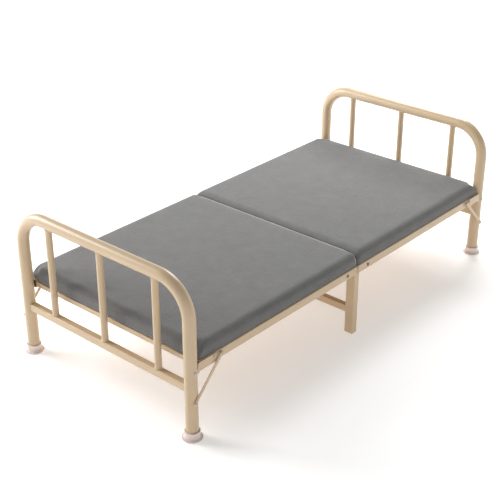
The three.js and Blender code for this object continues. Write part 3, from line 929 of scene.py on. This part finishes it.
@dataclass
class Pad:
    """A foam pad in woven cloth, filled by a cloth simulation, with a sewn edge at the middle seam.

    Fields:
        end: the half that it lies on.
        voxel: the size of its mesh's squares.
        pressure: how hard the filling pushes.
        swell: how far the cloth may stand proud of the cut pad.
        tight_swell: the same, near the arch that swings past.
        side_swell: the same, at the sides, beside the arms.
        held_height: the height over the rails up to which the cloth stays put.
        edge_reach: how near the cut pad's outline a point is drawn out to it, for crisp lower edges.
        edge_height: the height over the rails up to which that is done.
        piping: the radius of the sewn edge.
        easing: how many times the swelling is evened out between neighbours.
        roll: how far the top rolls down at the middle seam.
        roll_reach: how far from the seam the roll starts.
        painted_rim_light: whether the sewn edge is in the pale cloth, a painted rim-light highlight
            along the seam end.
        quality: the simulation's steps in each frame.
        mass: the cloth's mass at each point, in kg.
        stiffness: how hard the cloth is to stretch or squeeze.
        bending: how hard it is to bend.
        steps: the simulation's length in frames.
        tightness: how full the pad is, from 0 to 1; not used.
        cord_steps: points along the sewn edge.
    """

    end: str
    dresser: Dresser
    voxel: float = 0.0086
    pressure: float = 4.0
    swell: float = 0.0055
    tight_swell: float = 0.0022
    side_swell: float = 0.0025
    held_height: float = 0.003
    edge_reach: float = 0.007
    edge_height: float = 0.03
    piping: float = 0.0018
    easing: int = 8
    roll: float = 0.002
    roll_reach: float = 0.03
    painted_rim_light: bool = True
    quality: int = 5
    mass: float = 0.3
    stiffness: float = 12
    bending: float = 5
    steps: int = 20
    tightness: float = 0.8
    cord_steps: int = 60

    def build(self) -> None:
        """Makes the pad and its sewn edge."""
        node = f"{self.end}_pad"
        self.low, self.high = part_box(node)
        self.rail_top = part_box(f"{self.end}_side_rail_left")[1].z
        pad = Bench.copy(frame["nodes"][node], f"{self.end}_cushion")
        for key in list(pad.keys()):
            del pad[key]
        pad.parent = None
        pad.hide_render = pad.hide_viewport = False
        Bench.clear()
        Bench.tidy_copy(pad)
        Bench.modify(pad, "REMESH", mode="VOXEL", voxel_size=self.voxel, use_smooth_shade=True)
        self.relax(pad)
        self.fill(pad)
        self.roll_down(pad)
        Bench.modify(pad, "SUBSURF", levels=1, render_levels=1)
        Bench.smooth(pad, 180)
        self.dresser.dress(pad, Slot.FABRIC, node)
        self.sew(pad, node)

    def relax(self, pad: bpy.types.Object) -> None:
        """Smooths the steps that the remesh leaves, and makes the pad's lower edges crisp again."""
        Bench.modify(pad, "SMOOTH", factor=0.5, iterations=1)
        for vertex in pad.data.vertices:
            point = vertex.co
            height = point.z - self.rail_top
            if not 0 < height < self.edge_height:
                continue
            if height < self.edge_reach:
                point.z = self.rail_top + 0.0006
            for axis in (0, 1):
                for bound in (self.low[axis], self.high[axis]):
                    if abs(point[axis] - bound) < self.edge_reach:
                        point[axis] = bound

    def fill(self, pad: bpy.types.Object) -> None:
        """Swells the pad by a cloth simulation, and holds each point within its room."""
        start = [vertex.co.copy() for vertex in pad.data.vertices]
        held = pad.vertex_groups.new(name="held")
        top = self.rail_top + self.held_height
        resting = [index for index, point in enumerate(start) if point.z < top]
        held.add(resting, 1.0, "REPLACE")
        cloth = pad.modifiers.new("cloth", "CLOTH")
        cloth.settings.quality = self.quality
        cloth.settings.mass = self.mass
        cloth.settings.tension_stiffness = self.stiffness
        cloth.settings.compression_stiffness = self.stiffness
        cloth.settings.bending_stiffness = self.bending
        cloth.settings.use_pressure = True
        cloth.settings.uniform_pressure_force = self.pressure
        cloth.settings.effector_weights.gravity = 0
        cloth.settings.vertex_group_mass = "held"
        cloth.point_cache.frame_start, cloth.point_cache.frame_end = 1, self.steps
        scene = bpy.context.scene
        for step in range(1, self.steps + 1):
            scene.frame_set(step)
        shaped = pad.evaluated_get(bpy.context.evaluated_depsgraph_get())
        ends = [vertex.co.copy() for vertex in shaped.data.vertices]
        pad.modifiers.remove(cloth)
        pad.vertex_groups.clear()
        scene.frame_set(1)
        moves = numpy.array([self.limited(after - before, self.room(before))
                             for before, after in zip(start, ends)])
        pairs = numpy.array([edge.vertices[:] for edge in pad.data.edges])
        counts = numpy.bincount(pairs.ravel(), minlength=len(moves))[:, None]
        for _ in range(self.easing):
            sums = numpy.zeros_like(moves)
            numpy.add.at(sums, pairs[:, 0], moves[pairs[:, 1]])
            numpy.add.at(sums, pairs[:, 1], moves[pairs[:, 0]])
            moves = (moves + sums / counts) / 2
        moves[resting] = 0
        for vertex, before, move in zip(pad.data.vertices, start, moves):
            vertex.co = before + Vector(move)
        LOG.info("%s filled", pad.name)

    @staticmethod
    def limited(move: Vector, room: float) -> Vector:
        """Shortens a move.

        Args:
            move: the move.
            room: the length that it may not pass.

        Returns:
            The shortened move.
        """
        far = max(move.length, 1e-9)
        return move * (room * math.tanh(far / room) / far)

    def roll_down(self, pad: bpy.types.Object) -> None:
        """Rolls the pad's top down at the middle seam."""
        middle_height = (self.rail_top + self.high.z) / 2
        for vertex in pad.data.vertices:
            near = max(1 - abs(vertex.co.x) / self.roll_reach, 0)
            upper = max(vertex.co.z - middle_height, 0) / (self.high.z - middle_height)
            vertex.co.z -= self.roll * near ** 2 * upper

    def room(self, point: Vector) -> float:
        """Finds how far a point may move: less near the arch and the sides, which other parts pass.

        Args:
            point: the point, before the filling.

        Returns:
            The distance.
        """
        outward = abs(point.x) / max(abs(self.low.x), abs(self.high.x))
        near_arch = min(max((outward - 0.84) / 0.1, 0), 1)
        near_side = min(max((abs(point.y) / self.high.y - 0.92) / 0.06, 0), 1)
        room = self.swell + (self.tight_swell - self.swell) * near_arch
        return room + (min(room, self.side_swell) - room) * near_side

    def sew(self, pad: bpy.types.Object, node: str) -> None:
        """Runs a round sewn edge along the top of the seam end and down its two corners.

        Args:
            pad: the filled pad.
            node: the pad's CAD node.
        """
        points = [vertex.co for vertex in pad.data.vertices]
        seam = [point for point in points if abs(point.x) < 0.06]
        path = []
        half = self.high.y
        for index in range(self.cord_steps + 1):
            y = -half + 2 * half * index / self.cord_steps
            near = [point for point in seam if abs(point.y - y) < self.voxel * 0.6]
            if near:
                best = max(near, key=lambda point: point.z - abs(point.x))
                path.append(Vector((best.x, y, best.z)))
        path = smoothed(path, 4)
        corners = []
        for side in (-1, 1):
            down = []
            for index in range(1, 6):
                z = self.high.z - 0.012 - (self.high.z - self.low.z - 0.02) * index / 5
                near = [point for point in seam if abs(point.z - z) < self.voxel * 0.7]
                best = max(near, key=lambda point: side * point.y - abs(point.x))
                down.append(Vector((best.x, best.y, z)))
            corners.append(down)
        along = [point for point in path if abs(point.y) < half - 0.012]
        whole = list(reversed(corners[0])) + along + corners[1]
        edge = tube_along(f"{self.end}_sewn_edge", smoothed(whole, 2), self.piping)
        # On the foot pad the cord is in the pale cloth, which paints a rim-light highlight along the
        # seam end.
        self.dresser.dress(edge, Slot.FABRIC, node, replaces=False,
                           material=self.dresser.piping if self.painted_rim_light else None)


def smoothed(points: list[Vector], rounds: int) -> list[Vector]:
    """Evens out a row of points.

    Args:
        points: the row.
        rounds: how many times each point moves to the mean of itself and its neighbours.

    Returns:
        The new row, with the same ends.
    """
    for _ in range(rounds):
        trios = zip(points, points[1:], points[2:])
        inner = [(before + here * 2 + after) / 4 for before, here, after in trios]
        points = [points[0], *inner, points[-1]]
    return points


def tube_along(name: str, points: list[Vector], radius: float) -> bpy.types.Object:
    """Makes a round sewn cord.

    Args:
        name: the cord's name.
        points: the points that it runs through.
        radius: its radius.

    Returns:
        The cord, as a mesh.
    """
    curve = bpy.data.curves.new(name, "CURVE")
    curve.dimensions = "3D"
    curve.bevel_depth = radius
    curve.bevel_resolution = 4
    curve.use_fill_caps = True
    spline = curve.splines.new("POLY")
    spline.points.add(len(points) - 1)
    for target, point in zip(spline.points, points):
        target.co = (*point, 1)
    piece = bpy.data.objects.new(name, curve)
    bpy.context.collection.objects.link(piece)
    Bench.clear()
    piece.select_set(True)
    bpy.context.view_layer.objects.active = piece
    bpy.ops.object.convert(target="MESH")
    piece = bpy.context.object
    piece.name = piece.data.name = name
    Bench.tidy(piece)
    Bench.smooth(piece, 60)
    return piece


# Studio


@dataclass(frozen=True)
class Lamp:
    """A square soft light: its place, its width and its power in watts."""

    name: str
    place: tuple[float, float, float]
    width: float
    power: float

    def hang(self, aim: Vector) -> None:
        """Adds the light, facing aim."""
        data = bpy.data.lights.new(self.name, "AREA")
        data.size = self.width
        data.energy = self.power
        lamp = bpy.data.objects.new(self.name, data)
        lamp.location = self.place
        lamp.rotation_euler = (aim - Vector(self.place)).to_track_quat("-Z", "Y").to_euler()
        bpy.context.scene.collection.objects.link(lamp)


@dataclass
class Studio:
    """The camera, the pale floor and soft light."""

    azimuth: float = -48.9
    elevation: float = 27.4
    distance: float = 4.41
    lens: float = 78.9
    sensor: float = 36
    aim_from_middle: tuple[float, float] = (-0.166, -0.030)
    aim_height: float = 0.300
    floor_size: float = 120.0
    wall_top: float = 0.12
    ceiling_from: float = 0.5
    ceiling: float = 0.26

    def build(self) -> None:
        """Sets the studio up round the cot."""
        low, high = CAD_BOX
        aim = (low + high) / 2 + Vector((*self.aim_from_middle, 0))
        aim.z = low.z + self.aim_height
        around, up = math.radians(self.azimuth), math.radians(self.elevation)
        back = Vector((math.sin(around) * math.cos(up), -math.cos(around) * math.cos(up),
                       math.sin(up)))
        data = bpy.data.cameras.new("camera")
        data.lens = self.lens
        data.sensor_width = self.sensor
        camera = bpy.data.objects.new("camera", data)
        camera.location = aim + back * self.distance
        camera.rotation_euler = (-back).to_track_quat("-Z", "Y").to_euler()
        bpy.context.scene.collection.objects.link(camera)
        bpy.context.scene.camera = camera
        bpy.context.scene.view_settings.view_transform = "Standard"
        far_pad = Vector((high.x * 0.62, 0, high.z / 2))
        Lamp("key", (-2.0, 3.9, 2.5), 2.6, 225).hang(aim)
        Lamp("fill", (-1.6, -5.0, 1.8), 3.0, 5).hang(aim)
        Lamp("back", (2.2, 0.7, 2.4), 1.4, 75).hang(far_pad)
        Lamp("rim", (3.4, -2.4, 0.9), 1.0, 4).hang(aim)
        bpy.context.scene.world = self.surround()
        Bench.clear()
        bpy.ops.mesh.primitive_plane_add(size=self.floor_size, location=(0, 0, -0.0005))
        floor = Bench.settle("studio_floor")
        floor.data.materials.append(StudioFloor().build())

    def surround(self) -> bpy.types.World:
        """Returns a room that is white low down and fades to a dim ceiling."""
        graph = Graph(bpy.data.worlds.new("soft_white"))
        where = graph.node("ShaderNodeTexCoord").outputs["Generated"]
        height = graph.node("ShaderNodeSeparateXYZ", sockets={0: where}).outputs[2]
        fade = graph.node("ShaderNodeMapRange", {"interpolation_type": "SMOOTHSTEP"},
                          {0: height, 1: self.wall_top, 2: self.ceiling_from,
                           3: 1.0, 4: self.ceiling})
        room = graph.node("ShaderNodeBackground", sockets={0: (1, 1, 1, 1), 1: fade.outputs[0]})
        graph.node("ShaderNodeOutputWorld", sockets={0: room.outputs[0]})
        return graph.owner


def main() -> None:
    """Builds every sub-assembly in order."""
    logging.basicConfig(level=logging.INFO, format="%(name)s: %(message)s")
    dresser = Dresser()
    Studio().build()
    for end in ENDS:
        Arch(end, dresser).build()
        HalfFrame(end, dresser).build()
        # The head pad's sewn edge stays in the plain cloth, with no painted rim-light highlight.
        edge = {} if end == "foot" else {"roll": 0.016, "roll_reach": 0.045, "painted_rim_light": False}
        Pad(end, dresser, **edge).build()
    MiddleSupport(dresser).build()
    Fasteners(dresser).build()


if __name__ == "__main__":
    main()
